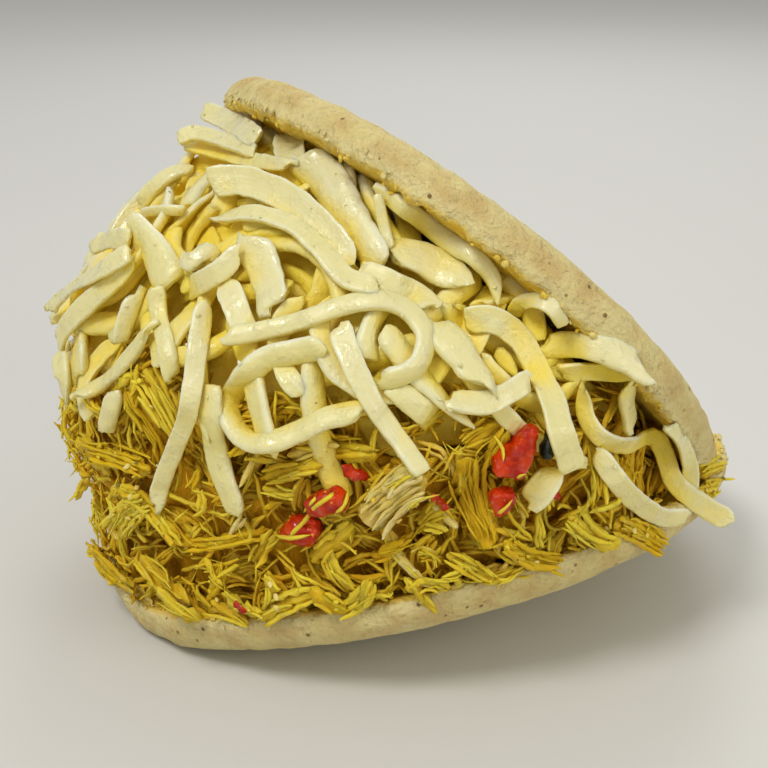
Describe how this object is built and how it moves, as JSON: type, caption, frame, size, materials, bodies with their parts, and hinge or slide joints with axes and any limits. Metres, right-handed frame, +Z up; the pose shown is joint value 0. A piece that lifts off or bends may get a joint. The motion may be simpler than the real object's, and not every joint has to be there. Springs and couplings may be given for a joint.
{
  "type": "arepa corn cake",
  "caption": "Split round corn cake, open like a clam and heaped with shredded chicken, thick-grated cheese and bits of pepper.",
  "frame": {"origin": "on the flat belly under the lower half, at the middle of its round outline", "axes": "+Z up; -Y is the front, with the open side seen; +X is the right, where the two halves are joined; the mouth faces -X and a little to the front"},
  "size_m": [0.1283, 0.1315, 0.0941],
  "materials": {
    "corn_cake": "matt, lightly toasted corn crust",
    "shredded_chicken": "moist, seasoned yellow",
    "grated_cheese": "soft, slightly glossy",
    "red_pepper": "wet, glossy",
    "green_pepper": "wet, glossy"
  },
  "bodies": {
    "root": {"arepa": "corn_cake", "shredded_chicken": "shredded_chicken", "grated_cheese": "grated_cheese", "red_pepper_1": "red_pepper", "red_pepper_2": "red_pepper", "red_pepper_3": "red_pepper", "red_pepper_4": "red_pepper", "green_pepper": "green_pepper"}
  },
  "joints": []
}
